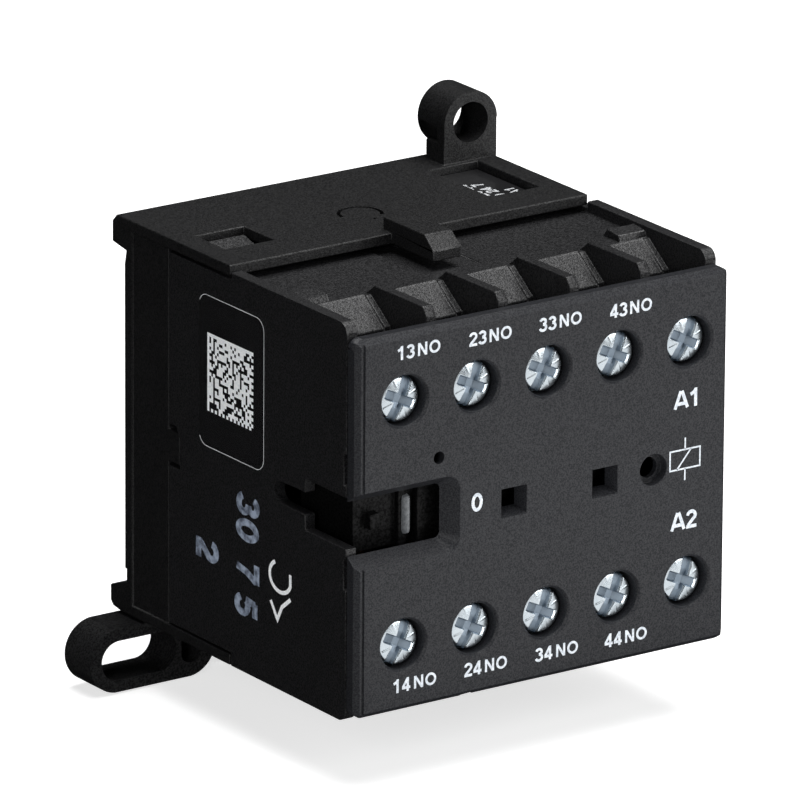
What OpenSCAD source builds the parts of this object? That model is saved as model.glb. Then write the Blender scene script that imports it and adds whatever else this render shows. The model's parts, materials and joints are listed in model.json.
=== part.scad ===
// Miniature contactor relay: four normally open poles, one coil, 35 mm rail base.
// +Z up, +X to the right seen from the front, the front faces -Y.
// Origin: centre of the rail seat, on the back face of the base.

/* [Front cover] */
// Width of the front cover
cover_w = 45.2; // [45:0.1:46]
// Height of the front cover
cover_h = 39.4; // [39:0.1:39.8]
// Wall thickness of the cover plate
cover_t = 1.6; // [1.2:0.1:1.8]
// Distance from the rail seat to the front face
front_depth = 41.6; // [41.4:0.1:42]

/* [Terminals] */
// Spacing of the terminal columns
col_pitch = 8.67; // [8.6:0.01:8.7]
// Half the distance between the upper and the lower screw row
row_half = 12.7; // [12.6:0.05:12.8]
// Radius of the screwdriver holes
driver_hole_r = 2.65; // [2.55:0.05:2.7]
// Radius of the screw heads
head_r = 2.35; // [2.2:0.05:2.5]
// Nominal radius of the terminal screws
screw_r = 1.5; // [1.3:0.1:1.5]

/* [Mechanism] */
// Stroke of the contact carrier
stroke = 3; // [2.5:0.1:3]
// Gap between open contacts
contact_gap = 2; // [1.8:0.1:2]
// Width of the magnet core
core_w = 30; // [28:0.5:30]
// Thickness of the lamination stack
stack_t = 10; // [8:0.5:10]

/* [Fixing] */
// Height of the mounting rail
rail_h = 35; // [35:1:35]
// Radius of the fixing hole
fixing_r = 2.15; // [2:0.05:2.2]
// Vertical distance between the two fixing points
fixing_pitch = 50; // [49.8:0.1:50.2]
// Stroke of the rail latch
latch_stroke = 1.5; // [1.4:0.1:1.5]

/* [Hidden] */
$fn = 48;
e = 0.01;                         // overlap that keeps cuts clean
clear = 0.2;                      // gap between neighbouring moulded pieces

// Levels of the casing
face_y = -front_depth;            // front face of the cover
cover_back_y = face_y + cover_t;  // back face of the cover plate
shell_y = cover_back_y + clear;   // front edge of the contact housing
shell_back_y = -8.1;              // back edge of the contact housing
cover_x = cover_w / 2;            // half width of the cover
cover_bot = -20.4;                // lower edge of the cover
cover_top = cover_bot + cover_h;  // upper edge of the cover
shell_l = -22.6;                  // left face of the housings
shell_r = 22.2;                   // right face of the contact housing
base_r = 21.1;                    // right face of the base
rim_top = 20.4;                   // top of the housing's side walls
rim_bot = -21.1;                  // bottom of the housing's side walls
deck_drop = 1.2;                  // step from the side walls down to the deck
plate_top = 21.06;                // top face of the base's upper plate
plate_t = 1.15;                   // thickness of the base's plates
plate_y = -19.2;                  // front edge of the base's plates
back_y = -0.3;                    // back of the base around the raised rail seat
wall = 1.3;                       // side wall thickness
wall_l = shell_l + wall;          // inner face of the left wall
wall_r = shell_r - wall;          // inner face of the right wall
cross_y = -26.6;                  // front face of the wall behind the contacts
cross_t = 1.4;                    // thickness of that wall
deck_y = -29.9;                   // front edge of the decks
label_x = 15.45;                  // middle of the coil label
label_w = 5.7;                    // width of the coil label
label_y = [-14.2, -3.6];          // front and back edge of the coil label
label_z = 19.7;                   // underside of the coil label

// Rows and columns
z_mid = -0.8;                     // height midway between the screw rows
first_x = -16.83;                 // centre of the leftmost column
cols = [for (i = [0:4]) first_x + i * col_pitch];
rib_x = [for (i = [0:3]) first_x + (i + 0.5) * col_pitch];
rib_t = 1.2;                      // thickness of the ribs between columns
mech_x = (cols[0] + cols[3]) / 2; // centre of the four poles and of the magnet

// Screw and clamp stack, from the front backwards
head_y = face_y + 0.75;           // front of a screw head in an open terminal
head_t = 2.4;                     // thickness of a screw head
shank_l = 7.5;                    // length of a screw under its head
washer_y = head_y + head_t + 0.1; // front face of a clamp washer
washer_t = 1;                     // thickness of a clamp washer
strip_y = -34.6;                  // front face of the terminal plates
strip_t = 0.8;                    // thickness of the contact strips
block_y = strip_y + 1.1;          // front face of the plastic terminal blocks

// Contacts
foot_y = -27.5;                   // front face of a fixed contact's foot
tip_t = 0.6;                      // thickness of a silver tip
tip_r = 1.3;                      // radius of a silver tip
tip_z = 5.8;                      // distance of the tips from the middle
bar_t = 0.8;                      // thickness of a bridge
bar_y = foot_y - tip_t - contact_gap - tip_t - bar_t; // front face of a bridge

// Contact carrier
window_y = -36.4;                 // front wall of a bridge window
carrier_y = window_y - 2.2;       // front face of the carrier
carrier_h = 3.6;                  // half height of the crossbar
crossbar_back = bar_y + bar_t + 2.2;
flange_y = -25;                   // front face of the spring flange
flange_back = -22.85;             // back face of the spring flange

// Magnet and coil
armature_y = -22.75;              // front face of the armature
armature_t = 4.2;                 // thickness of the armature
pole_y = armature_y + armature_t + stroke + 0.3; // pole faces of the core
yoke_y = -6.6;                    // front of the core's yoke
yoke_t = 4.2;                     // thickness of the yoke
leg_w = 4;                        // width of an outer leg
centre_w = 7;                     // width of the centre leg
bobbin_y = -14.4;                 // front face of the bobbin
spring_x = 6;                     // sideways place of a return spring
spring_z = 7.6;                   // height of a return spring over the middle
tail_w = 1.2;                     // width of the tails of the coil terminals
tail_z = tip_z + 3.2;             // distance of the tails from the middle
shelf_h = 2.8;                    // height of the bobbin's two shelves
pin_y = armature_y + armature_t / 2; // axis of the pin through the armature
pin_r = 1;                        // radius of that pin

// Fixing
lug_x = 17.8;                     // centre of the upper fixing lug
lug_z = 25.2;                     // height of the upper fixing lug
lug_r = 3.3;                      // radius of the lugs
lug_y0 = -3.1;                    // front face of the lugs
lug_y1 = 1.7;                     // back face of the lugs
slot_z = lug_z - fixing_pitch;    // height of the lower fixing slot
rail_z = rail_h / 2;              // half height of the rail

SIDES = ["13", "23", "33", "43", "a1", "14", "24", "34", "44", "a2"];

// ---------- helpers ----------

// Box between two corners
module block(x0, x1, y0, y1, z0, z1) {
    translate([x0, y0, z0]) cube([x1 - x0, y1 - y0, z1 - z0]);
}

// Outline in X and Z, extruded along Y
module along_y(y0, y1) {
    translate([0, y1, 0]) rotate([90, 0, 0]) linear_extrude(y1 - y0) children();
}

// Outline in Y and Z, extruded along X
module along_x(x0, x1) {
    translate([x0, 0, 0]) rotate([90, 0, 90]) linear_extrude(x1 - x0) children();
}

// Flat rectangle between two corners with round corners
module round_rect(x0, x1, z0, z1, r) {
    translate([x0 + r, z0]) square([x1 - x0 - 2 * r, z1 - z0]);
    translate([x0, z0 + r]) square([x1 - x0, z1 - z0 - 2 * r]);
    for (x = [x0 + r, x1 - r], z = [z0 + r, z1 - r])
        translate([x, z]) circle(r);
}

// Round bar or bore along Y
module rod_y(x, z, y0, y1, r0, r1 = -1) {
    translate([x, y0, z]) rotate([-90, 0, 0])
        cylinder(h = y1 - y0, r1 = r0, r2 = r1 < 0 ? r0 : r1);
}

// Plain sleeve that stands for a coil spring along Y
module spring_y(x, z, y0, y1, r, wire) {
    difference() {
        rod_y(x, z, y0, y1, r);
        rod_y(x, z, y0 - e, y1 + e, r - 2 * wire);
    }
}

// Height of a level of the upper side, or of its partner on the lower side
function level(z, up) = up > 0 ? z : rim_top + rim_bot - z;

// ---------- base ----------

module rail_hooks() {
    // ledge over the rail with two lips behind its upper edge
    along_x(shell_l, base_r)
        polygon([[back_y - e, rail_z + 0.15], [2.2, rail_z + 0.55], [2.2, plate_top - 0.8],
                 [1.4, plate_top], [back_y - e, plate_top]]);
    for (x = [-13, 11])
        block(x - 4, x + 4, 1.3, 2.2, rail_z - 1, rail_z + 0.6);
    // ledges under the rail beside the latch
    for (x = [[shell_l, -16.9], [10.9, base_r]])
        along_x(x[0], x[1])
            polygon([[back_y - e, -rail_z - 0.15], [2.65, -rail_z - 1.2], [2.65, rim_bot + 0.7],
                     [2.2, rim_bot + 0.2], [0.9, rim_bot], [back_y - e, rim_bot]]);
}

module latch_guides() {
    for (x = [[-16.95, -15.15], [9.15, 10.95]])
        block(x[0], x[1], back_y - e, 2.6, rim_bot, -rail_z - 0.2);
    // bracket and peg that the latch spring stands on
    block(-4.4, -1.6, -1.4, 0.2, -23, rim_bot + 1);
    block(-4.3, -1.7, 0, 2.2, -23, -22.4);
}

module fixing_lug() {
    difference() {
        union() {
            rod_y(lug_x, lug_z, lug_y0, lug_y1, lug_r);
            block(lug_x - lug_r, lug_x + lug_r, lug_y0, lug_y0 + 1.3, plate_top - e, lug_z);
            block(lug_x - lug_r, lug_x + lug_r - 0.9, lug_y0 + 1, 0.2, plate_top - e, lug_z - 2);
        }
        rod_y(lug_x, lug_z, lug_y0 - e, lug_y1 + e, fixing_r);
    }
}

module snap_tongue(up) {
    low = up > 0 ? plate_top - plate_t : rim_bot;
    tip = cross_y + 0.1;
    block(-3.05, 0.3, tip, plate_y + 1, low, low + plate_t);
    if (up > 0)
        along_x(-3.05, 0.3)
            polygon([[-17.6, plate_top - e], [-17.6, plate_top + 1.34],
                     [-24.9, plate_top + 1.34], [tip, plate_top - e]]);
}

module arc_slit(x, y, r, w) {
    // three quarters of a thin ring, open towards the front left
    translate([x, y, plate_top - plate_t - 1]) difference() {
        cylinder(h = 3, r = r);
        translate([0, 0, -1]) cylinder(h = 5, r = r - w);
        translate([-r - 1, -r - 1, -1]) cube([r + 1, r + 1, 5]);
        translate([0, -r - 1, -1]) rotate([0, 0, -20]) cube([2 * r, r, 5]);
    }
}

module base_housing() color("#1d1e20") {
    difference() {
        union() {
            // back wall, upper plate and lower plate
            block(shell_l, base_r, -1.4, back_y, rim_bot, plate_top);
            block(shell_l, base_r, plate_y, back_y, plate_top - plate_t, plate_top);
            block(shell_l, base_r, plate_y, back_y, rim_bot, rim_bot + plate_t);
            // raised seat that rests on the rail, between the lips of the hooks
            block(shell_l, base_r, back_y - e, 0, -16.2, 16.3);
            // side walls behind the contact housing
            block(shell_l + 0.2, wall_l, shell_back_y + 0.3, back_y, rim_bot, plate_top);
            block(base_r - wall, base_r, shell_back_y + 0.3, back_y, rim_bot, plate_top);
            // snap tab that fills the notch of the contact housing
            block(shell_l + 0.2, wall_l, -9.8, -7, -2.6, 0.8);
            rail_hooks();
            latch_guides();
            fixing_lug();
            snap_tongue(1);
            snap_tongue(-1);
            // posts that hold the yoke of the core
            for (x = [-1, 1], z = [-1, 1])
                block(mech_x + x * 15.9 - 0.7, mech_x + x * 15.9 + 0.7, -7.5, -1,
                      z_mid + z * 6.2 - 0.7, z_mid + z * 6.2 + 0.7);
        }
        // window over the snap hook and window over the coil label
        block(-19.9, -14.1, -14.4, -9, plate_top - 2, plate_top + 1);
        block(label_x - label_w / 2 - 0.2, label_x + label_w / 2 + 0.2, label_y[0] - 0.1,
              label_y[1] + 0.2, plate_top - 2, plate_top + 1);
        arc_slit(-1.9, -11.9, 2.4, 0.4);
        // grooves for the edges of the latch
        block(-16, -15, 0.85, 1.75, rim_bot - 1, -rail_z);
        block(9, 10, 0.85, 1.75, rim_bot - 1, -rail_z);
    }
}

// ---------- contact housing ----------

// Side wall with its window front corners rounded
module side_wall(x0, x1) {
    along_x(x0, x1) union() {
        round_rect(shell_y, plate_y - 2, rim_bot, rim_top, 1.2);
        translate([plate_y - 8, rim_bot]) square([7.8, rim_top - rim_bot]);
        translate([plate_y - 1, rim_bot + 1.4])
            square([shell_back_y - plate_y + 1, rim_top - rim_bot - 2.2]);
    }
}

// Rib between two columns on one side of the carrier
module rib(x, up) {
    in = z_mid + up * 4.7;
    along_x(x - rib_t / 2, x + rib_t / 2)
        polygon([[-29.4, level(19.2, up)], [-30.6, level(20.3, up)], [-39.1, level(20.4, up)],
                 [shell_y, level(19.5, up)], [shell_y, in], [-26.5, in],
                 [-26.5, level(18, up)], [-29.4, level(18, up)]]);
}

// Plastic block behind the terminal plates, with the sloping back of the wire funnels
module terminal_block(up) {
    in = z_mid + up * (tip_z + 3.8);
    along_x(wall_l - e, wall_r + e)
        polygon([[-29.9, level(19.2, up)], [block_y, level(16.7, up)], [block_y, in],
                 [-27.6, in], [-27.6, level(18, up)], [-26.6, level(18, up)],
                 [-26.6, level(19.2, up)]]);
}

// Thin blade beside each rib and the ledge in front of it that guide the wire
module wire_guides(x, up) {
    ledge = [z_mid + up * (row_half + 3.4), z_mid + up * (row_half + 4.4)];
    along_x(x - rib_t / 2 - 0.7, x - rib_t / 2 + e)
        polygon([[-29.6, level(19.2, up)], [-30.2, level(19.3, up)], [-33.6, level(16.9, up)],
                 [block_y, level(15.6, up)], [-29.6, level(15.6, up)]]);
    block(x - rib_t / 2 - 1.9, x - rib_t / 2 + e, -36.6, block_y + 0.1, min(ledge), max(ledge));
}

module deck_wedge(x0, x1, up) {
    along_x(x0, x1)
        polygon([[-29.8, level(19.1, up)], [-29.4, level(19.9, up)],
                 [-27.4, level(20.1, up)], [-26.6, level(19.1, up)]]);
}

module contact_housing() color("#232426") {
    difference() {
        union() {
            side_wall(shell_l, wall_l);
            side_wall(wall_r, shell_r);
            for (up = [-1, 1]) {
                z0 = level(rim_top - deck_drop, up);
                z1 = level(rim_top - 2 * deck_drop, up);
                block(wall_l - e, wall_r + e, deck_y, shell_back_y, min(z0, z1), max(z0, z1));
                for (x = rib_x) rib(x, up);
                for (x = concat(rib_x, [wall_r + rib_t / 2])) wire_guides(x, up);
                terminal_block(up);
                deck_wedge(wall_l - e, -17.7, up);
                deck_wedge(17.6, wall_r + e, up);
            }
            // cross wall behind the contacts
            block(wall_l - e, wall_r + e, cross_y, cross_y + cross_t, -19, 18.5);
            // snap hook under the window of the base
            along_x(-19.6, -14.4)
                polygon([[-13.9, 19], [-13.9, 19.3], [-9.5, 20.4], [-9.5, 19]]);
        }
        // room for the carrier, its stem and the armature holder
        block(wall_l - 2 * e, rib_x[3] - 0.8, -40, -25, z_mid - 4.4, z_mid + 4.4);
        block(mech_x - 2.9, mech_x + 2.9, cross_y - 0.1, -25, z_mid - 7, z_mid + 7);
        // slots for the legs of the coil terminals
        for (up = [-1, 1])
            block(cols[4] - 2.4, cols[4] + 2.4, -28.5, -25,
                  z_mid + up * tail_z - 0.8, z_mid + up * tail_z + 0.8);
        // clearance for the ends of the screws
        for (x = cols, up = [-1, 1]) rod_y(x, z_mid + up * row_half, block_y - 1, -27.7, 1.9);
        // window in the left wall: a wide front part and a narrow slot
        block(shell_l - 1, wall_l + 1, shell_y - 1, -32.6, -2.95, 2.4);
        block(shell_l - 1, wall_l + 1, -33, -28.3, -1.35, 0.95);
        translate([shell_l - 1, -28.3, -0.2]) rotate([0, 90, 0]) cylinder(h = 3, r = 1.15);
        // two short slots at the joint with the cover
        block(shell_l - 1, wall_l - 0.5, shell_y - 1, shell_y + 0.45, 3.6, 6.9);
        block(shell_l - 1, wall_l - 0.5, shell_y - 1, shell_y + 0.45, -7.3, -4);
        // notch for the snap tab of the base
        along_x(shell_l - 1, wall_l + e)
            polygon([[-8, -3], [-10.1, -3], [-10.1, 0.4], [-9.4, 1.5], [-8, 1.5]]);
        // window over the coil label, and a shallow step under the snap tongue
        block(label_x - label_w / 2 - 0.4, label_x + label_w / 2 + 0.4, label_y[0] - 0.4,
              shell_back_y + 1, 17, 22);
        block(-4.9, 2.2, -27.2, -18, rim_top - deck_drop - 0.25, rim_top);
        // pockets for the nibs of the cover
        for (z = [7, -9])
            block(wall_l - 0.5, wall_l + 1, -36.6, -34.6, z - 2.2, z + 2.2);
    }
}

// ---------- front cover ----------

module plate_outline() round_rect(-cover_x, cover_x, cover_bot, cover_top, 1.1);

// Square inspection hole with sloping walls
module square_hole(x, z) {
    hull() {
        along_y(face_y - 0.3, face_y) translate([x - 1.5, z - 1.6]) square([3.1, 3.05]);
        along_y(cover_back_y, cover_back_y + 0.3) translate([x - 1.1, z - 0.8]) square([2.1, 2]);
    }
}

module cover_window() {
    // funnel with rounded corners around the opening at the left edge
    hull() {
        along_y(face_y - 0.3, face_y) round_rect(-cover_x - 4, -10.1, -4.9, 3.15, 1.6, $fn = 32);
        along_y(cover_back_y - 0.1, cover_back_y + 0.3)
            round_rect(-cover_x - 4, -11.8, -3.35, 1.85, 0.4, $fn = 32);
    }
}

// Arm behind the plate that snaps into a side wall
module cover_arm(z) {
    block(wall_l + clear, wall_l + clear + 1, cover_back_y - e, -34.4, z - 2, z + 2);
    translate([0, 0, z - 2]) linear_extrude(4)
        polygon([[wall_l + clear + e, -36.4], [wall_l - 0.25, -34.9], [wall_l + clear + e, -34.8]]);
}

module front_cover() color("#3d3e40") {
    difference() {
        union() {
            // plate with a chamfered front edge on all four sides
            intersection() {
                along_y(face_y, cover_back_y) plate_outline();
                linear_extrude(2 * cover_h, center = true)
                    polygon([[-cover_x, cover_back_y], [-cover_x, face_y + 0.5],
                             [-cover_x + 0.5, face_y], [cover_x - 0.5, face_y],
                             [cover_x, face_y + 0.5], [cover_x, cover_back_y]]);
                along_x(-cover_x, cover_x)
                    polygon([[cover_back_y, cover_bot], [face_y + 0.5, cover_bot],
                             [face_y, cover_bot + 0.5], [face_y, cover_top - 0.6],
                             [face_y + 0.6, cover_top], [cover_back_y, cover_top]]);
            }
            // collars around the screwdriver holes
            for (x = cols, up = [-1, 1])
                rod_y(x, z_mid + up * row_half, cover_back_y - e, cover_back_y + 0.9, 3);
            for (z = [7, -9]) cover_arm(z);
        }
        // screwdriver holes with a small chamfer
        for (x = cols, up = [-1, 1]) {
            rod_y(x, z_mid + up * row_half, face_y - 1, cover_back_y + 2, driver_hole_r);
            rod_y(x, z_mid + up * row_half, face_y - e, face_y + 0.25,
                  driver_hole_r + 0.25, driver_hole_r);
        }
        // small test hole, and the stepped hole beside the coil symbol
        rod_y(-12.7, 5.3, face_y - 1, cover_back_y + 1, 0.65);
        rod_y(13.5, z_mid, face_y - 1, face_y + 1, 1.65);
        rod_y(13.5, z_mid, face_y - 1, cover_back_y + 1, 1.1);
        square_hole(-3.6, -0.9);
        square_hole(7.5, -0.9);
        cover_window();
        // parting groove along the left edge
        block(-cover_x + 0.75, -cover_x + 1, face_y - 1, face_y + 0.2, cover_bot - 1, cover_top + 1);
        // moulding notch in the lower edge
        block(-9.6, -8.2, face_y - 1, face_y + 0.7, cover_bot - 1, cover_bot + 0.3);
    }
}

// ---------- magnet and coil ----------

module magnet_core() color("#8b8e92") {
    difference() {
        union() {
            block(mech_x - core_w / 2, mech_x + core_w / 2, yoke_y, yoke_y + yoke_t,
                  z_mid - stack_t / 2, z_mid + stack_t / 2);
            for (s = [-1, 0, 1]) {
                w = s == 0 ? centre_w : leg_w;
                x = mech_x + s * (core_w - leg_w) / 2;
                block(x - w / 2, x + w / 2, pole_y + (s == 0 ? 0.15 : 0), yoke_y + e,
                      z_mid - stack_t / 2, z_mid + stack_t / 2);
            }
        }
        // slots in the outer pole faces for the shading rings
        for (s = [-1, 1])
            block(mech_x + s * 12.6 - 0.5, mech_x + s * 12.6 + 0.5, pole_y - 1, pole_y + 1.5,
                  z_mid - stack_t, z_mid + stack_t);
    }
}

module shading_rings() color("#b87443") {
    for (s = [-1, 1])
        difference() {
            block(mech_x + s * 14 - 1.8, mech_x + s * 14 + 1.8, pole_y + 0.1, pole_y + 1.3,
                  z_mid - 5.9, z_mid + 5.9);
            block(mech_x + s * 14 - 1.05, mech_x + s * 14 + 1.05, pole_y - 1, pole_y + 3,
                  z_mid - 5.1, z_mid + 5.1);
        }
}

module core_cushion() color("#2b2b2b") {
    along_y(-2.35, -1.45) round_rect(mech_x - 13, mech_x + 13, z_mid - 4.5, z_mid + 4.5, 1);
}

module armature() color("#8b8e92") {
    difference() {
        block(mech_x - core_w / 2, mech_x + core_w / 2, armature_y, armature_y + armature_t,
              z_mid - stack_t / 2, z_mid + stack_t / 2);
        translate([mech_x, pin_y, z_mid]) cylinder(h = 20, r = pin_r + 0.05, center = true);
    }
}

module armature_pin() color("#c4c6c9") {
    translate([mech_x, pin_y, z_mid]) cylinder(h = 13, r = pin_r, center = true);
}

module coil_bobbin() color("#d8d4c8") {
    difference() {
        union() {
            for (y = [bobbin_y, -8])
                block(mech_x - 10.7, mech_x + 10.7, y, y + 1, z_mid - 10.5, z_mid + 10.5);
            block(mech_x - 4.7, mech_x + 4.7, bobbin_y, -7, z_mid - 6.2, z_mid + 6.2);
            // shelves that carry the ends of the winding
            for (up = [-1, 1])
                block(mech_x + 10.6, cols[4] + 2.2, bobbin_y, bobbin_y + 1,
                      z_mid + up * tail_z - shelf_h / 2, z_mid + up * tail_z + shelf_h / 2);
            // post and platform under the coil label
            block(label_x - 2.65, label_x + 2.65, bobbin_y + 0.2, bobbin_y + 1.6,
                  z_mid + tail_z + shelf_h / 2 - e, label_z - 0.5);
            block(label_x - label_w / 2, label_x + label_w / 2, label_y[0], label_y[1],
                  label_z - 0.8, label_z - 0.05);
        }
        // slots for the tails of the coil terminals
        for (up = [-1, 1])
            block(cols[4] - tail_w / 2 - 0.05, cols[4] + tail_w / 2 + 0.05, bobbin_y - 1,
                  bobbin_y + 2, z_mid + up * tail_z - 0.45, z_mid + up * tail_z + 0.45);
        block(mech_x - 3.8, mech_x + 3.8, bobbin_y - 1, -6, z_mid - 5.3, z_mid + 5.3);
    }
}

module coil_winding() color("#8a3b1e") {
    along_y(bobbin_y + 1.05, -8.05) difference() {
        round_rect(mech_x - 9.9, mech_x + 9.9, z_mid - 10, z_mid + 10, 3);
        translate([mech_x - 4.75, z_mid - 6.25]) square([9.5, 12.5]);
    }
}

module coil_leads() color("#b5562c") {
    for (up = [-1, 1])
        block(mech_x + 9.4, cols[4] + 1.2, bobbin_y + 1.15, bobbin_y + 1.75,
              z_mid + up * tail_z - 0.3, z_mid + up * tail_z + 0.3);
}

module coil_label() color("#151515") {
    block(label_x - label_w / 2, label_x + label_w / 2, label_y[0], label_y[1],
          label_z, label_z + 0.5);
}

module side_label() color("#111214") {
    along_x(shell_l - 0.05, shell_l) round_rect(-25.4, -13.7, 1, 17, 1.4);
}

// ---------- moving contacts ----------

module contact_carrier() color("#2a2b2d") {
    difference() {
        union() {
            // crossbar that carries the four bridges
            block(wall_l + 1, cols[3] + 3.4, window_y - 1.2, crossbar_back,
                  z_mid - carrier_h, z_mid + carrier_h);
            block(cols[0] + 3.6, cols[3] + 3.4, carrier_y, window_y,
                  z_mid - carrier_h, z_mid + carrier_h);
            // driving nose and post seen through the left window
            block(-18.9, -17.7, carrier_y, window_y, -2, -0.35);
            block(-15.3, -14.3, carrier_y + 0.3, window_y, z_mid - carrier_h, z_mid + carrier_h);
            // stem through the cross wall, spring flange and cheeks of the armature
            block(mech_x - 8, mech_x + 8, crossbar_back - e, flange_y + e,
                  z_mid - carrier_h, z_mid + carrier_h);
            block(mech_x - 9, mech_x + 9, flange_y, flange_back, z_mid - 10, z_mid + 10);
            for (up = [-1, 1])
                block(mech_x - 2.6, mech_x + 2.6, flange_back - e, armature_y + 4,
                      z_mid + up * 5.85 - 0.65, z_mid + up * 5.85 + 0.65);
        }
        // windows for the bridges and their springs
        for (i = [0:3])
            block(cols[i] - 2.6, cols[i] + 2.6, window_y, bar_y + bar_t,
                  z_mid - 10, z_mid + 10);
        translate([mech_x, pin_y, z_mid]) cylinder(h = 20, r = pin_r + 0.02, center = true);
    }
}

module contact_bridge(i) color("#b9895a") {
    along_y(bar_y, bar_y + bar_t)
        round_rect(cols[i] - 2.1, cols[i] + 2.1, z_mid - tip_z - 1.9, z_mid + tip_z + 1.9, 0.8);
    for (up = [-1, 1])
        rod_y(cols[i], z_mid + up * tip_z, bar_y + bar_t - e, bar_y + bar_t + tip_t, tip_r);
}

module contact_spring(i) color("#c9cbce") {
    spring_y(cols[i], z_mid, window_y, bar_y, 1.7, 0.35);
}

module return_spring(up) color("#c9cbce") {
    spring_y(mech_x + up * spring_x, z_mid + up * spring_z, flange_back, bobbin_y, 2, 0.4);
}

// ---------- terminals ----------

// Terminal plate with a threaded collar, on the side that up says
module plate_and_collar(x, up) {
    z = z_mid + up * row_half;
    ends = [z - up * 3.9, z + up * 3.2];
    block(x - 3, x + 3, strip_y, strip_y + strip_t, min(ends), max(ends));
    rod_y(x, z, strip_y + strip_t - e, strip_y + 2, 1.85);
}

module fixed_terminal(x, up) color("#c08a4a") {
    leg = z_mid + up * (tip_z + 3.3);
    foot = z_mid + up * (tip_z - 1.4);
    difference() {
        union() {
            plate_and_collar(x, up);
            block(x - 2.1, x + 2.1, strip_y, foot_y + strip_t, leg - strip_t / 2, leg + strip_t / 2);
            block(x - 2.1, x + 2.1, foot_y, foot_y + strip_t, min(leg, foot), max(leg, foot));
        }
        rod_y(x, z_mid + up * row_half, strip_y - 1, strip_y + 3, screw_r + 0.06);
    }
}

module fixed_contact_tips() color("#d7d8da") {
    for (i = [0:3], up = [-1, 1])
        rod_y(cols[i], z_mid + up * tip_z, foot_y - tip_t, foot_y, tip_r);
}

module coil_terminal(up) color("#c08a4a") {
    x = cols[4];
    leg = z_mid + up * tail_z;
    difference() {
        union() {
            plate_and_collar(x, up);
            block(x - 2.1, x + 2.1, strip_y, -23.8, leg - strip_t / 2, leg + strip_t / 2);
            block(x - tail_w / 2, x + tail_w / 2, -24, bobbin_y + 1.15,
                  leg - strip_t / 2, leg + strip_t / 2);
        }
        rod_y(x, z_mid + up * row_half, strip_y - 1, strip_y + 3, screw_r + 0.06);
    }
}

module terminal_screw(x, z) color("#c9ced6") {
    difference() {
        union() {
            rod_y(x, z, head_y, head_y + 0.25, head_r - 0.25, head_r);
            rod_y(x, z, head_y + 0.25, head_y + head_t, head_r);
            rod_y(x, z, head_y + head_t - e, head_y + head_t + shank_l, screw_r);
        }
        // screwdriver slot and cross
        translate([x, head_y, z]) rotate([0, 28, 0]) {
            cube([0.8, 1.6, 8], center = true);
            cube([2.6, 2, 0.8], center = true);
        }
    }
}

module clamp_washer(x, z) color("#b9bec6") {
    difference() {
        along_y(washer_y, washer_y + washer_t) round_rect(x - 3, x + 3, z - 3, z + 3, 0.7);
        rod_y(x, z, washer_y - 1, washer_y + 2, screw_r + 0.1);
    }
}

// ---------- rail latch ----------

module rail_latch() color("#1d1e20") {
    difference() {
        union() {
            // ring with the fixing slot, at the lower left corner
            along_y(lug_y0, lug_y1)
                round_rect(-28.8, -13.5, slot_z - 3.4, slot_z + 3.4, 3.39);
            // plate behind the base, with the lip that grips the rail
            block(-15, 9, 0.35, 2.3, -24.5, -rail_z - 0.3);
            block(-12, 6, 1.3, 2.3, -rail_z - 0.4, -rail_z + 1.1);
            for (x = [[-15.7, -14.9], [8.9, 9.7]])
                block(x[0], x[1], 1, 1.6, -21.6, -rail_z - 0.5);
        }
        along_y(lug_y0 - e, lug_y1 + e)
            round_rect(-27.4, -18.3, slot_z - 2.1, slot_z + 2.1, 2.09);
        along_y(lug_y0 - 1, 3)
            round_rect(-17.7, -15.3, slot_z - 1.9, slot_z + 1.9, 1.1);
        // window for the spring and its peg
        block(-4.7, -1.3, 0, 3, -23.4, -18.4);
    }
}

module latch_spring() color("#c9cbce") {
    translate([-3, 1.25, -22.4]) difference() {
        cylinder(h = 4, r = 0.95);
        translate([0, 0, -e]) cylinder(h = 4 + 2 * e, r = 0.5);
    }
}

// ---------- assembly ----------

base_housing();
contact_housing();
front_cover();
coil_bobbin();
coil_winding();
coil_leads();
magnet_core();
shading_rings();
core_cushion();
armature();
armature_pin();
contact_carrier();
fixed_contact_tips();
return_spring(1);  // return_spring_upper
return_spring(-1);  // return_spring_lower
rail_latch();
latch_spring();
coil_label();
side_label();
for (i = [0:3])
    contact_bridge(i);
for (i = [0:3])
    contact_spring(i);
for (i = [0:3], r = [0, 1])
    fixed_terminal(cols[i], 1 - 2 * r);
coil_terminal(1);  // terminal_a1
coil_terminal(-1);  // terminal_a2
for (i = [0:4], r = [0, 1])
    terminal_screw(cols[i], z_mid + (1 - 2 * r) * row_half);
for (i = [0:4], r = [0, 1])
    clamp_washer(cols[i], z_mid + (1 - 2 * r) * row_half);
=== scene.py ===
import json
import math

import bmesh
import bpy
import numpy as np
from mathutils import Matrix, Vector

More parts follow.
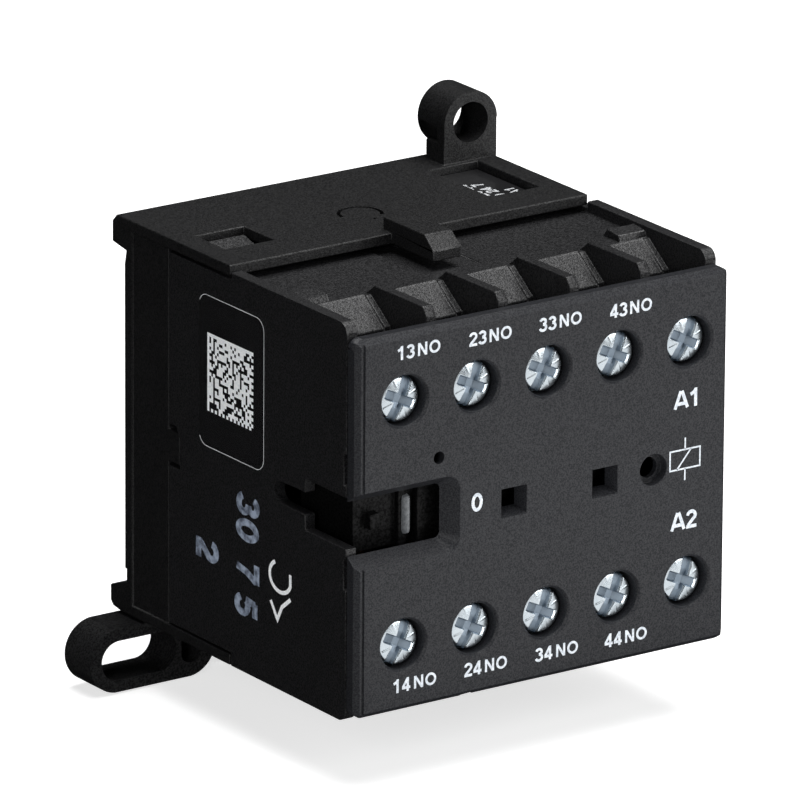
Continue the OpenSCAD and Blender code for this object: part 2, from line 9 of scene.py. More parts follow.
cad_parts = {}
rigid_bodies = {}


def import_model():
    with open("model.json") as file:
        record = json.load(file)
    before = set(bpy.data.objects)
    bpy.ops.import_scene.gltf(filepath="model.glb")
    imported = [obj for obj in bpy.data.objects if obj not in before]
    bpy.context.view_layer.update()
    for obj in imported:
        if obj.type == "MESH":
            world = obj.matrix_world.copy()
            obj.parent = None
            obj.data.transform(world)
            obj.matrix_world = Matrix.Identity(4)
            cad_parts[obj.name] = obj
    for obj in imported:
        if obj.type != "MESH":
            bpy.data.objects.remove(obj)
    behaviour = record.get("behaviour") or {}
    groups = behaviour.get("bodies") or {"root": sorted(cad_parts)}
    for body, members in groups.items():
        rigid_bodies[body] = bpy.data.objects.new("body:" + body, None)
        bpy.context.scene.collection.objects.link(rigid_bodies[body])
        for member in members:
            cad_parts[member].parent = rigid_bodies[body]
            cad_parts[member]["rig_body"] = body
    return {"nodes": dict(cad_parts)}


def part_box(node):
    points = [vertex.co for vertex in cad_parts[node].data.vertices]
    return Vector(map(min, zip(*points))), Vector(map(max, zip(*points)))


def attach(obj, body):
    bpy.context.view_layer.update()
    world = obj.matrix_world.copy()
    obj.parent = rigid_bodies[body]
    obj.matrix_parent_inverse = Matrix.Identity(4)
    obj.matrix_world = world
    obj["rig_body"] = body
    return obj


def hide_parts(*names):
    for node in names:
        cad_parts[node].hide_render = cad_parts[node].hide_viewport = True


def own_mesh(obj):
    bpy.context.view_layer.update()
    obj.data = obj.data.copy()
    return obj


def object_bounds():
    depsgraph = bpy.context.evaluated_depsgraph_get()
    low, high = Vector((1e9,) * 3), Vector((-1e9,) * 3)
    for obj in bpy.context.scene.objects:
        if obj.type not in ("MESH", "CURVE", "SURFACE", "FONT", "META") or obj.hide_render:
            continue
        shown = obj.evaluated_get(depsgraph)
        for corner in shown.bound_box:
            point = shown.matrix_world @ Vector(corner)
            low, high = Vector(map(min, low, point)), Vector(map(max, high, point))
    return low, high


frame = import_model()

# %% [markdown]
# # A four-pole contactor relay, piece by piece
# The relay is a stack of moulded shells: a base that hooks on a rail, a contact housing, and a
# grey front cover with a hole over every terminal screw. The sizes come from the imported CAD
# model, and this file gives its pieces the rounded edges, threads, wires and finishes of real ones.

MM = 0.001
cad_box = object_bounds()
size = (cad_box[1] - cad_box[0]) / MM
print("CAD box", [round(v, 2) for v in size], "mm")

# %% [markdown]
# ## Names that the later cells share
# Terminals are named as on any relay of this kind: 13 to 43 in the upper row and 14 to 44 in the
# lower row belong to the four poles, and A1 and A2 to the coil. Every screw, washer and strip is
# found by these names, so its place never has to be repeated here.

# %% Terminal names and the face of the cover
UPPER = ["13", "23", "33", "43", "a1"]
LOWER = ["14", "24", "34", "44", "a2"]


def middle(node):
    """Centre of a CAD node's box."""
    low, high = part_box(node)
    return (low + high) / 2


face_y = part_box("front_cover")[0].y
print("columns at", [round(middle("terminal_screw_" + name).x / MM, 2) for name in UPPER], "mm")

# %% [markdown]
# ## Colours and nodes
# A colour is written as the sRGB hex value that a painter would read from a chart, and Cycles
# works in linear light, so one function turns the one into the other. A second small function
# adds any shader node with its settings and links, which keeps each material short.

# %% Colour and node helpers
def linear(hex_colour):
    """sRGB hex to linear RGBA: c / 12.92 in the dark, ((c + 0.055) / 1.055) to the power 2.4 above."""
    parts = [int(hex_colour[i:i + 2], 16) / 255 for i in (1, 3, 5)]
    return [c / 12.92 if c <= 0.04045 else ((c + 0.055) / 1.055) ** 2.4 for c in parts] + [1.0]


def add(tree, kind, links=None, **settings):
    """Adds a node. A setting is a property, or a socket where its name is one; a link is (node, output)."""
    node = tree.nodes.new(kind)
    for name, value in settings.items():
        socket_name = name.replace("_", " ")
        socket = next((s for s in node.inputs if s.name.lower() == socket_name.lower() and s.enabled), None)
        if hasattr(node, name):
            setattr(node, name, value)
        elif socket is not None:
            socket.default_value = value
        else:
            raise KeyError(kind + " has no " + name)
    for name, (source, output) in (links or {}).items():
        target = next(s for s in node.inputs if s.name == name and s.enabled)
        tree.links.new(source.outputs[output], target)
    return node


def new_material(name, colour, **settings):
    """A material with one Principled shader and its Object coordinates: returns all that a pattern needs."""
    material = bpy.data.materials.new(name)
    material.use_nodes = True
    tree = material.node_tree
    tree.nodes.clear()
    out = add(tree, "ShaderNodeOutputMaterial")
    shader = add(tree, "ShaderNodeBsdfPrincipled", Base_Color=linear(colour), **settings)
    tree.links.new(shader.outputs[0], out.inputs[0])
    coords = add(tree, "ShaderNodeTexCoord")
    return material, tree, shader, coords


def spread(tree, source, output, low, high):
    """Stretches a 0 to 1 pattern to the range low to high."""
    return add(tree, "ShaderNodeMapRange", {"Value": (source, output)}, To_Min=low, To_Max=high)


def mottle(tree, shader, source, output, dark, light):
    """Colour that wanders between two hex values with a 0 to 1 pattern."""
    mix = add(tree, "ShaderNodeMix", {"Factor": (source, output)}, data_type="RGBA")
    colours = [s for s in mix.inputs if s.type == "RGBA"]
    colours[0].default_value = linear(dark)
    colours[1].default_value = linear(light)
    result = next(s for s in mix.outputs if s.type == "RGBA")
    tree.links.new(result, shader.inputs["Base Color"])


def bump(tree, shader, source, output, height_mm, strength=1.0, previous=None):
    """Bump of a real height in millimetres, stacked on an earlier one if given."""
    links = {"Height": (source, output)}
    if previous is not None:
        links["Normal"] = (previous, "Normal")
    node = add(tree, "ShaderNodeBump", links, Distance=height_mm * MM, Strength=strength)
    tree.links.new(node.outputs["Normal"], shader.inputs["Normal"])
    return node


print("sRGB #808080 is", round(linear("#808080")[0], 4), "in linear light")

# %% [markdown]
# ## Moulded plastics
# The shells are glass-filled polyamide, moulded in tools with a spark-eroded skin: overlapping
# tiny craters that break every reflection into a fine sparkle. The cover is the same plastic in
# dark grey with a finer skin. A crater is 0.05 mm wide; the pattern is drawn at about 0.15 mm,
# because a finer one can't show at this distance. Voronoi cells give craters, and noise a drift
# in colour and gloss from the flow of the melt, with paler flecks where glass fibres reach the skin.

# %% Plastic material
def spark_eroded_plastic(name, dark, light, crater_mm, depth_mm, roughness, fleck=0.65, sheen=(0.15, 0.7)):
    """Polyamide, injection moulded: matt, IOR 1.53, with sparkle from the skin of the mould."""
    material, tree, shader, coords = new_material(name, light, IOR=1.53)
    craters = add(tree, "ShaderNodeTexVoronoi", {"Vector": (coords, "Object")},
                  Scale=1 / (crater_mm * MM), feature="SMOOTH_F1", Smoothness=0.6)
    grit = add(tree, "ShaderNodeTexNoise", {"Vector": (coords, "Object")},
               Scale=1 / (1.3 * crater_mm * MM), Detail=2.0, Roughness=0.6)
    flow = add(tree, "ShaderNodeTexNoise", {"Vector": (coords, "Object")},
               Scale=1 / (9 * MM), Detail=4.0, Roughness=0.55)
    flecks = add(tree, "ShaderNodeMapRange", {"Value": (grit, "Fac")}, From_Min=0.38, From_Max=0.62)
    blend = add(tree, "ShaderNodeMix", {"A": (flow, "Fac"), "B": (flecks, "Result")}, Factor=fleck)
    mottle(tree, shader, blend, "Result", dark, light)
    gloss = spread(tree, grit, "Fac", roughness - 0.1, roughness + 0.12)
    tree.links.new(gloss.outputs[0], shader.inputs["Roughness"])
    sparkle = spread(tree, flecks, "Result", *sheen)
    tree.links.new(sparkle.outputs[0], shader.inputs["Specular IOR Level"])
    skin = bump(tree, shader, craters, "Distance", depth_mm)
    bump(tree, shader, grit, "Fac", depth_mm, 0.8, skin)
    return material


base_plastic = spark_eroded_plastic("black_polyamide_base", "#0e0e0f", "#1a1a1b", crater_mm=0.13,
                                    depth_mm=0.016, roughness=0.48, fleck=0.6, sheen=(0.25, 0.6))
housing_plastic = spark_eroded_plastic("black_polyamide_housing", "#0e0e0f", "#212123", crater_mm=0.14,
                                       depth_mm=0.022, roughness=0.46, fleck=0.7, sheen=(0.25, 0.75))
cover_plastic = spark_eroded_plastic("grey_polyamide_cover", "#1c1d20", "#27282c", crater_mm=0.12,
                                     depth_mm=0.01, roughness=0.47, fleck=0.7, sheen=(0.15, 0.4))
# The carrier is darker and duller than the other black plastics: its colour is painted shade for the dark
# inside of the window.
carrier_plastic_with_painted_shade = spark_eroded_plastic("black_carrier_darkened_as_painted_shade", "#060606", "#0c0c0d", crater_mm=0.2,
                                       depth_mm=0.01, roughness=0.5, fleck=0.5, sheen=(0.05, 0.2))
latch_plastic = spark_eroded_plastic("black_acetal_latch", "#131314", "#232324", 0.18, 0.012, 0.38)
post_plastic = spark_eroded_plastic("grey_polyamide_post", "#5f6265", "#777a7d", 0.2, 0.006, 0.4)
bobbin_plastic = spark_eroded_plastic("natural_polyamide_bobbin", "#cfc5ab", "#ddd5bf", 0.2, 0.006, 0.42)
print("7 moulded plastics")

# %% [markdown]
# ## Metals
# The screws and washers are steel with a thin blue-passivated zinc plating, tumbled, so they are
# bright with a soft haze. The terminal strips are brass with a nickel flash, the contact bridges
# are copper alloy with silver tips, the magnet is stacked steel sheet and the springs are drawn
# wire. Each metal takes its colour from its base colour and keeps the default IOR.

# %% Metal materials
def tumbled_metal(name, dark, light, grain_mm, roughness, height_mm=0.002):
    """Plated or bare metal, tumbled: noise of the grain's size clouds both colour and gloss."""
    material, tree, shader, coords = new_material(name, light, Metallic=1.0)
    cloud = add(tree, "ShaderNodeTexNoise", {"Vector": (coords, "Object")},
                Scale=1 / (grain_mm * MM), Detail=5.0, Roughness=0.6)
    mottle(tree, shader, cloud, "Fac", dark, light)
    haze = spread(tree, cloud, "Fac", roughness - 0.08, roughness + 0.14)
    tree.links.new(haze.outputs[0], shader.inputs["Roughness"])
    bump(tree, shader, cloud, "Fac", height_mm)
    return material


def drawn_metal(name, dark, light, stretch, line_mm, roughness, height_mm=0.003):
    """Rolled or drawn metal: the same noise, stretched along the draw, gives fine parallel lines."""
    material, tree, shader, coords = new_material(name, light, Metallic=1.0)
    draw = add(tree, "ShaderNodeMapping", {"Vector": (coords, "Object")}, Scale=stretch)
    lines = add(tree, "ShaderNodeTexNoise", {"Vector": (draw, "Vector")},
                Scale=1 / (line_mm * MM), Detail=4.0, Roughness=0.6)
    mottle(tree, shader, lines, "Fac", dark, light)
    haze = spread(tree, lines, "Fac", roughness - 0.08, roughness + 0.12)
    tree.links.new(haze.outputs[0], shader.inputs["Roughness"])
    bump(tree, shader, lines, "Fac", height_mm)
    return material


zinc_screw = tumbled_metal("blue_zinc_plated_steel", "#b3bec6", "#dbe2e6", 1.2, 0.24, 0.0012)
# A darker copy of the zinc for the slot and cross recess: painted shade in the hollows of the head.
zinc_with_painted_recess_shade = tumbled_metal("zinc_darkened_as_painted_recess_shade", "#6f7c8a", "#9ba7b2", 0.9, 0.42, 0.0012)
zinc_washer = drawn_metal("zinc_plated_strip", "#a6adb4", "#ccd2d8", (1, 1, 0.15), 0.25, 0.36)
nickel_strip = drawn_metal("nickel_flashed_brass", "#a79d86", "#c9c2ae", (0.15, 1, 1), 0.25, 0.34)
bridge_copper = drawn_metal("rolled_contact_copper", "#b07a52", "#cf9a6c", (1, 1, 0.12), 0.2, 0.36)
contact_silver = tumbled_metal("silver_alloy_tip", "#b9b9b4", "#dcdcd8", 0.3, 0.3)
spring_steel = drawn_metal("drawn_spring_wire", "#8e9196", "#b9bcc0", (1, 0.3, 1), 0.1, 0.3)
ground_steel = tumbled_metal("ground_steel_pin", "#9a9da1", "#c4c6c9", 0.2, 0.28)
bare_copper = tumbled_metal("formed_copper_ring", "#a9623c", "#cb8459", 0.4, 0.34)
print("9 metals")

# %% [markdown]
# ## Laminated magnet, enamelled wire, rubber and labels
# A magnet for alternating current is a stack of 0.5 mm steel sheets, riveted and ground on the
# pole faces: each sheet edge shows as a line. The winding is copper wire in a brown enamel under
# clear tape. The cushion under the magnet is moulded rubber. The side label is a glossy black
# film, and the coil label is printed card.

# %% Sheet steel, enamel, rubber and label materials
def laminated_steel(name, sheet_mm):
    """Sheet stack along Z: a sine wave of one period per sheet sinks the joints between sheets."""
    material, tree, shader, coords = new_material(name, "#8d9096", Metallic=1.0)
    sheets = add(tree, "ShaderNodeTexWave", {"Vector": (coords, "Object")}, bands_direction="Z",
                 Scale=math.pi / (10 * sheet_mm * MM), Distortion=0.0)
    rust = add(tree, "ShaderNodeTexNoise", {"Vector": (coords, "Object")}, Scale=1 / (1.5 * MM),
               Detail=5.0)
    mottle(tree, shader, rust, "Fac", "#75757a", "#9b9ea4")
    haze = spread(tree, sheets, "Fac", 0.55, 0.35)
    tree.links.new(haze.outputs[0], shader.inputs["Roughness"])
    bump(tree, shader, sheets, "Fac", 0.03)
    return material


def clear_coated(name, dark, light, roughness, grain_mm=0.6):
    """Enamel, varnish or film: a coloured body under a clear glossy coat with a slight ripple."""
    material, tree, shader, coords = new_material(name, light, Roughness=roughness, Coat_Weight=0.6,
                                                  Coat_Roughness=0.08)
    ripple = add(tree, "ShaderNodeTexNoise", {"Vector": (coords, "Object")},
                 Scale=1 / (grain_mm * MM), Detail=2.0)
    mottle(tree, shader, ripple, "Fac", dark, light)
    bump(tree, shader, ripple, "Fac", 0.004)
    return material


sheet_steel = laminated_steel("laminated_magnet_steel", 0.5)
enamelled_wire = clear_coated("enamelled_copper_wire", "#6d2a12", "#a24a22", 0.3, 0.5)
gloss_film = clear_coated("glossy_black_label_film", "#151516", "#1b1b1c", 0.22, 2.5)
printed_card = clear_coated("printed_coil_label", "#141415", "#1c1c1e", 0.4, 1.5)
cushion_rubber = spark_eroded_plastic("moulded_rubber_pad", "#161616", "#1e1e1e", 0.3, 0.01, 0.7)


def printing_ink(name, dark, light, cloud_mm=0.25):
    """Pad-printed or laser-marked ink: a thin matt film, thinner where the clouds of a noise say so."""
    material, tree, shader, coords = new_material(name, light, Roughness=0.6)
    wear = add(tree, "ShaderNodeTexNoise", {"Vector": (coords, "Object")}, Scale=1 / (cloud_mm * MM),
               Detail=3.0)
    patches = add(tree, "ShaderNodeMapRange", {"Value": (wear, "Fac")}, From_Min=0.35, From_Max=0.65)
    mottle(tree, shader, patches, "Result", dark, light)
    bump(tree, shader, wear, "Fac", 0.003)
    return material


bright_print = printing_ink("white_label_print", "#e6eaee", "#fbfcfc")
white_ink = printing_ink("white_pad_print", "#bcc3cb", "#dfe4ea")
blue_grey_ink = printing_ink("blue_grey_brushed_ink", "#4b5464", "#97a4b8", 0.7)
# The silver print is the text of the coil label and also the painted highlight along the side label's edge.
silver_print_and_painted_highlight = printing_ink("silver_print_and_painted_edge_highlight", "#b9bcbf", "#d8dadc")
print("labels, inks, steel sheet, enamel and rubber")

# %% [markdown]
# ## Rounded edges on the moulded pieces
# No moulded edge is sharp: the tool leaves a radius of about a tenth of a millimetre, and that
# thin radius is what catches the light along every outline. The CAD mesh is loose triangles, so a
# copy is merged, its flat faces are joined again, and a narrow bevel runs along each edge that
# turns by more than 30 degrees. Edges too short for the radius keep their corner. Normals are
# then weighted by face area, so that large flats stay flat and only the rounds bend the light.


def merged_copy(node):
    """bmesh of a CAD node with its loose triangles joined and its flat faces made whole again."""
    copy = bmesh.new()
    copy.from_mesh(frame["nodes"][node].data)
    bmesh.ops.remove_doubles(copy, verts=copy.verts, dist=0.0005 * MM)
    bmesh.ops.dissolve_limit(copy, angle_limit=math.radians(0.5), verts=copy.verts, edges=copy.edges)
    return copy


def finish_piece(name, mesh, body, material, replaced=(), sharp_above=50):
    """Puts a finished mesh in the scene: smooth below an angle, riding on its body."""
    piece = bpy.data.objects.new(name, mesh)
    bpy.context.scene.collection.objects.link(piece)
    mesh.materials.clear()
    mesh.materials.append(material)
    mesh.shade_smooth()
    mesh.set_sharp_from_angle(angle=math.radians(sharp_above))
    weighted = piece.modifiers.new("area_weighted_normals", "WEIGHTED_NORMAL")
    weighted.keep_sharp = True
    weighted.weight = 100
    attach(piece, body)
    if replaced:
        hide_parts(*replaced)
    return piece


def softened(node, radius_mm, material, turn=30, segments=3):
    """Visible twin of a CAD node whose sharp edges carry a round of the given radius."""
    copy = merged_copy(node)
    edges = [e for e in copy.edges if len(e.link_faces) == 2 and e.calc_length() > 3 * radius_mm * MM
             and e.calc_face_angle(0) > math.radians(turn)]
    bmesh.ops.bevel(copy, geom=edges, offset=radius_mm * MM, segments=segments, profile=0.5,
                    affect="EDGES", clamp_overlap=False, material=-1)
    bmesh.ops.remove_doubles(copy, verts=copy.verts, dist=0.0005 * MM)
    mesh = bpy.data.meshes.new("visible_" + node)
    copy.to_mesh(mesh)
    copy.free()
    cad = frame["nodes"][node]
    piece = finish_piece("visible_" + node, mesh, cad["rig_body"], material, [node])
    print(node, "has", len(mesh.polygons), "faces and", len(edges), "rounded edges")
    return piece


# %% Housings
softened("front_cover", 0.07, cover_plastic)
softened("contact_housing", 0.13, housing_plastic)
softened("base_housing", 0.15, base_plastic)
softened("rail_latch", 0.12, latch_plastic)

# %% Inner mouldings and stamped strips
softened("contact_carrier", 0.12, carrier_plastic_with_painted_shade)
softened("coil_bobbin", 0.12, bobbin_plastic)
softened("core_cushion", 0.15, cushion_rubber)
softened("magnet_core", 0.12, sheet_steel)
softened("armature", 0.12, sheet_steel)
softened("shading_rings", 0.1, bare_copper)
for name in UPPER + LOWER:
    softened("terminal_" + name, 0.08, nickel_strip)
    softened("clamp_washer_" + name, 0.1, zinc_washer)

# %% [markdown]
# ## Carried-over CAD pieces
# Where the exact CAD shape is already right, the node stays and only gets its finish.

# %% Finishes for carried-over nodes
def dress(node, material):
    """Gives a CAD node its finish and leaves its shape alone."""
    cad = frame["nodes"][node]
    cad.data.materials.clear()
    cad.data.materials.append(material)


dress("armature_pin", ground_steel)
dress("fixed_contact_tips", contact_silver)
dress("coil_leads", enamelled_wire)
dress("side_label", gloss_film)
dress("coil_label", printed_card)
print("5 nodes keep their CAD shape")

# %% [markdown]
# ## Surfaces on a grid
# The pieces that CAD only sketches are worked out here. Each one is a grid of points: two
# parameters run over it, whole arrays hold the three coordinates, and one function joins the
# neighbours to faces. A direction that comes back to its start is closed, and a cap closes the end.

# %% Grid helpers
def grid_faces(rows, cols, wrap_rows=False, wrap_cols=False, first=0):
    """Quads between neighbours of a rows x cols grid: corner (i, j), (i, j+1), (i+1, j+1), (i+1, j)."""
    i, j = np.meshgrid(np.arange(rows - (not wrap_rows)), np.arange(cols - (not wrap_cols)), indexing="ij")
    i, j = i.ravel(), j.ravel()
    nearer, further = (i + 1) % rows, (j + 1) % cols
    quads = [i * cols + j, i * cols + further, nearer * cols + further, nearer * cols + j]
    return np.stack(quads, axis=1) + first


def mesh_of(name, points, faces):
    """Mesh from an array of points and lists of faces, cleaned and with its faces turned outwards."""
    mesh = bpy.data.meshes.new(name)
    corners = np.asarray(points, float).reshape(-1, 3).tolist()
    mesh.from_pydata(corners, [], [list(map(int, face)) for face in faces])
    clean = bmesh.new()
    clean.from_mesh(mesh)
    bmesh.ops.remove_doubles(clean, verts=clean.verts, dist=0.0004 * MM)
    bmesh.ops.recalc_face_normals(clean, faces=clean.faces)
    clean.to_mesh(mesh)
    clean.free()
    return mesh


print("a 3 x 4 grid has", len(grid_faces(3, 4)), "faces")

# %% [markdown]
# ## Terminal screws
# A terminal screw is cold-headed: a punch presses a full-width slot and a cross recess with
# tapering arms into a low dome, and four thin lines at 45 degrees mark the recess type. The face
# is a height field on a square grid that is pulled out to a circle towards its rim, so that grid
# lines follow the slot's walls. The thread is rolled: its radius is a triangle wave of the height
# minus the angle, which makes one long helical ridge at the M3 pitch of 0.5 mm.

# %% Screw face
SLOT_HALF, ARM_HALF, ARM_REACH = 0.52, 0.46, 1.75
SLOT_SOFT, ARM_SOFT, END_SOFT = 0.24, 0.14, 0.2
THREAD_PITCH = 0.5


def edge_step(distance, soft=0.05):
    """1 inside a border and 0 outside, rising over the soft width (mm)."""
    return np.clip(distance / soft + 0.5, 0, 1)


def arm_depth(along, across):
    """Depth (mm) of one pair of arms: 0.82 - 0.33 |along|, at most 0.7, inside soft walls and ends."""
    depth = np.clip(0.82 - 0.33 * np.abs(along), 0, 0.7)
    walls = edge_step(ARM_HALF - np.abs(across), ARM_SOFT)
    return depth * walls * edge_step(ARM_REACH - np.abs(along), END_SOFT)


def recess_depth(a, b):
    """Depth (mm) under the dome at a along the slot and b across it."""
    slot = 0.46 * edge_step(SLOT_HALF - np.abs(b), SLOT_SOFT)
    radius = np.hypot(a, b)
    diagonal = np.minimum(np.abs(a - b), np.abs(a + b)) / math.sqrt(2)
    marks = -0.035 * edge_step(0.07 - diagonal, 0.08) * edge_step(radius - 1.05) * edge_step(2.05 - radius)
    recess = np.maximum.reduce([slot, arm_depth(b, a), arm_depth(a, b)])
    return np.where(recess > 0, recess, marks)


def screw_face(head_radius):
    """Square grid pulled to a disc: p times a blend of 1 at the middle and max(|a|, |b|) / |p| at the rim."""
    walls = [SLOT_HALF - SLOT_SOFT / 2, SLOT_HALF, SLOT_HALF + SLOT_SOFT / 2,
             ARM_HALF - ARM_SOFT / 2, ARM_HALF + ARM_SOFT / 2,
             ARM_REACH - END_SOFT / 2, ARM_REACH + END_SOFT / 2]
    half = np.unique(np.round(np.concatenate([np.linspace(0, head_radius, 27), walls]), 3))
    line = np.concatenate([-half[:0:-1], half])
    a, b = np.meshgrid(line, line, indexing="ij")
    longest, length = np.maximum(np.abs(a), np.abs(b)), np.hypot(a, b) + 1e-9
    t = np.clip((longest / head_radius - 0.3) / 0.7, 0, 1)
    pull = 1 + (t * t * (3 - 2 * t)) * (longest / length - 1)
    a, b = a * pull, b * pull
    radius = np.hypot(a, b) / head_radius
    round_off = np.clip(radius - 0.9, 0, 0.1) / 0.1
    dome = 0.28 * radius ** 2 + 0.22 * (1 - np.sqrt(np.clip(1 - round_off ** 2, 0, 1)))
    return a, b, dome + recess_depth(a, b)


def ring_order(n):
    """Indices of the border of an n x n grid, once round."""
    k = np.arange(n * n).reshape(n, n)
    return np.concatenate([k[0, :-1], k[:-1, -1], k[-1, :0:-1], k[:0:-1, 0]])


# %% Screws
def screw_mesh(name, centre_x, centre_z, front_y, turn_deg, head_radius, head_mm=2.4, shank_mm=7.5):
    """Closed head (face, side and underside) and a closed threaded shank, all in mm, placed in the mesh."""
    a, b, depth = screw_face(head_radius)
    n = len(a)
    turn = math.radians(turn_deg)
    x = a * math.sin(turn) + b * math.cos(turn)
    z = a * math.cos(turn) - b * math.sin(turn)
    face = np.stack([x, depth, z], axis=-1).reshape(-1, 3)
    rim = face[ring_order(n)]
    sides = [np.stack([rim[:, 0] * f, np.full(len(rim), d), rim[:, 2] * f], axis=-1)
             for f, d in ((1, 0.5), (1, head_mm - 0.1), (0.96, head_mm), (0.3, head_mm))]
    count = len(rim)
    faces = [grid_faces(n, n)]
    loops = np.concatenate([ring_order(n)[None], n * n + np.arange(4 * count).reshape(4, count)])
    for upper_loop, lower_loop in zip(loops[:-1], loops[1:]):
        band = [upper_loop, np.roll(upper_loop, -1), np.roll(lower_loop, -1), lower_loop]
        faces.append(np.stack(band, axis=1))
    rows, around = int(shank_mm / THREAD_PITCH * 8), 40
    round_angle = np.arange(around) * 2 * math.pi / around
    along, angle = np.meshgrid(np.linspace(0, 1, rows), round_angle, indexing="ij")
    height = along * shank_mm
    phase = (height / THREAD_PITCH - angle / (2 * math.pi)) % 1
    taper = np.clip((shank_mm - height) / 0.5, 0, 1) * np.clip(height / 0.6, 0, 1)
    radius = 1.2 + 0.28 * (1 - np.abs(2 * phase - 1)) * taper
    shank_y = head_mm + height - 0.05
    shank = np.stack([radius * np.cos(angle), shank_y, radius * np.sin(angle)], axis=-1).reshape(-1, 3)
    start = n * n + 4 * count
    faces.append(grid_faces(rows, around, wrap_cols=True, first=start))
    points = np.concatenate([face, *sides, shank])
    points = (points + [centre_x / MM, front_y / MM, centre_z / MM]) * MM
    caps = [(n * n + 3 * count + np.arange(count)).tolist(), (start + np.arange(around)).tolist(),
            (start + (rows - 1) * around + np.arange(around)).tolist()]
    return mesh_of(name, points, [*np.concatenate(faces).tolist(), *caps])


turns = np.random.default_rng(6).uniform(23, 28, 10)
for name, turn in zip(UPPER + LOWER, turns):
    node = "terminal_screw_" + name
    place = middle(node)
    low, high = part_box(node)
    mesh = screw_mesh("screw_" + name, place.x, place.z, low.y, turn, (high.x - low.x) / 2 / MM)
    finish_piece("screw_" + name, mesh, "screw_" + name, zinc_screw, [node], sharp_above=40)
    mesh.materials.append(zinc_with_painted_recess_shade)
    centres = np.zeros(len(mesh.polygons) * 3)
    mesh.polygons.foreach_get("center", centres)
    x, y, z = (centres.reshape(-1, 3) - [place.x, low.y, place.z]).T / MM
    a = x * math.sin(math.radians(turn)) + z * math.cos(math.radians(turn))
    b = x * math.cos(math.radians(turn)) - z * math.sin(math.radians(turn))
    # Faces deep in the slot and cross recess take the darker zinc, which is painted shade.
    shaded_recess_faces = (recess_depth(a, b) > 0.2) & (y < 1.05) & (np.hypot(a, b) < 2.33)
    mesh.polygons.foreach_set("material_index", shaded_recess_faces.astype(np.int32))
print("10 screws of", len(mesh.polygons), "faces each")

# %% [markdown]
# ## Springs
# Compression springs are wound from hard-drawn wire with closed ends: the last turn at each end
# lies flat so that the spring stands square. A round wire is swept along a helix whose pitch falls
# to the wire's own diameter at both ends. The springs stand on a body.

# %% Springs
def spring(name, node, axis, wire_mm, turns, body):
    """Helix of radius R about the middle of a CAD sleeve: angle = 2 pi turns t, height eased at the ends."""
    low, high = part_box(node)
    low, high = np.array(low) / MM, np.array(high) / MM
    centre, length = (low + high) / 2, (high - low)[axis]
    across = [k for k in range(3) if k != axis]
    helix_radius = (high - low)[across[0]] / 2 - wire_mm / 2
    steps, sides = int(28 * turns), 8
    t = np.linspace(0, 1, steps)
    pitch = np.clip(np.minimum(t, 1 - t) * turns / 1.1, 0.12, 1)
    height = np.cumsum(pitch)
    height = wire_mm / 2 + (height - height[0]) / (height[-1] - height[0]) * (length - wire_mm)
    angle = 2 * math.pi * turns * t
    path = np.zeros((steps, 3))
    path[:, across[0]] = helix_radius * np.cos(angle)
    path[:, across[1]] = helix_radius * np.sin(angle)
    path[:, axis] = height
    along = np.gradient(path, axis=0)
    along /= np.linalg.norm(along, axis=1, keepdims=True)
    outward = path * 1.0
    outward[:, axis] = 0
    outward /= np.linalg.norm(outward, axis=1, keepdims=True)
    beside = np.cross(along, outward)
    ring = np.arange(sides) * 2 * math.pi / sides
    tube = (path[:, None] + wire_mm / 2 * (np.cos(ring)[None, :, None] * outward[:, None]
                                           + np.sin(ring)[None, :, None] * beside[:, None]))
    origin = centre.copy()
    origin[axis] = low[axis]
    faces = grid_faces(steps, sides, wrap_cols=True).tolist()
    faces += [list(range(sides)), list(range((steps - 1) * sides, steps * sides))]
    mesh = mesh_of(name, (tube + origin) * MM, faces)
    piece = finish_piece(name, mesh, body, spring_steel, [node])
    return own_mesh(piece)


for side in ("upper", "lower"):
    node = "return_spring_" + side
    low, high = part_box(node)
    spring("wound_" + node, node, 1, 0.4, 6, "housing")
for i in range(1, 5):
    node = "contact_spring_%d" % i
    low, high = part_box(node)
    spring("wound_" + node, node, 1, 0.35, 5, "carrier")
low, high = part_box("latch_spring")
spring("wound_latch_spring", "latch_spring", 2, 0.3, 6, "housing")

# %% [markdown]
# ## Coil winding
# The coil is thousands of turns of fine enamelled wire, wound in layers on the bobbin. Its outside
# shows as a close row of ridges, one per turn. A profile with one ridge for every 0.25 mm is
# carried round a rectangle with round corners, and its inner side follows the bobbin's core.

# %% Winding
def round_rectangle(half_x, half_z, radius, count):
    """Points at even steps round a rectangle with round corners: straight runs joined by quarter circles."""
    quarter = np.linspace(0, math.pi / 2, count // 4)
    points = []
    for k, (sx, sz) in enumerate(((1, 1), (-1, 1), (-1, -1), (1, -1))):
        angle = quarter + k * math.pi / 2
        points.append(np.stack([sx * (half_x - radius) + radius * np.cos(angle),
                                sz * (half_z - radius) + radius * np.sin(angle)], axis=1))
    return np.concatenate(points)


low, high = [np.array(v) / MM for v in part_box("coil_winding")]
half = (high - low) / 2
outer = round_rectangle(half[0] - 0.12, half[2] - 0.12, 3.0, 96)
inner = round_rectangle(4.8, 6.3, 0.3, 96)
wire_mm = 0.25
ridges = np.linspace(0, 1, int((high - low)[1] / wire_mm) * 6 + 1)
ridge_height = 0.12 * np.abs(np.sin(math.pi * ridges * int((high - low)[1] / wire_mm)))
outward = outer / np.linalg.norm(outer, axis=1, keepdims=True)
wall = outer[:, None] + outward[:, None] * ridge_height[None, :, None]
ring_xz = np.concatenate([wall, inner[:, None], inner[:, None]], axis=1)
ring_y = np.concatenate([low[1] + ridges * (high - low)[1], [high[1], low[1]]])
points = np.stack([ring_xz[..., 0], np.broadcast_to(ring_y, ring_xz.shape[:2]), ring_xz[..., 1]], axis=-1)
points = points + [(low + high)[0] / 2, 0, (low + high)[2] / 2]
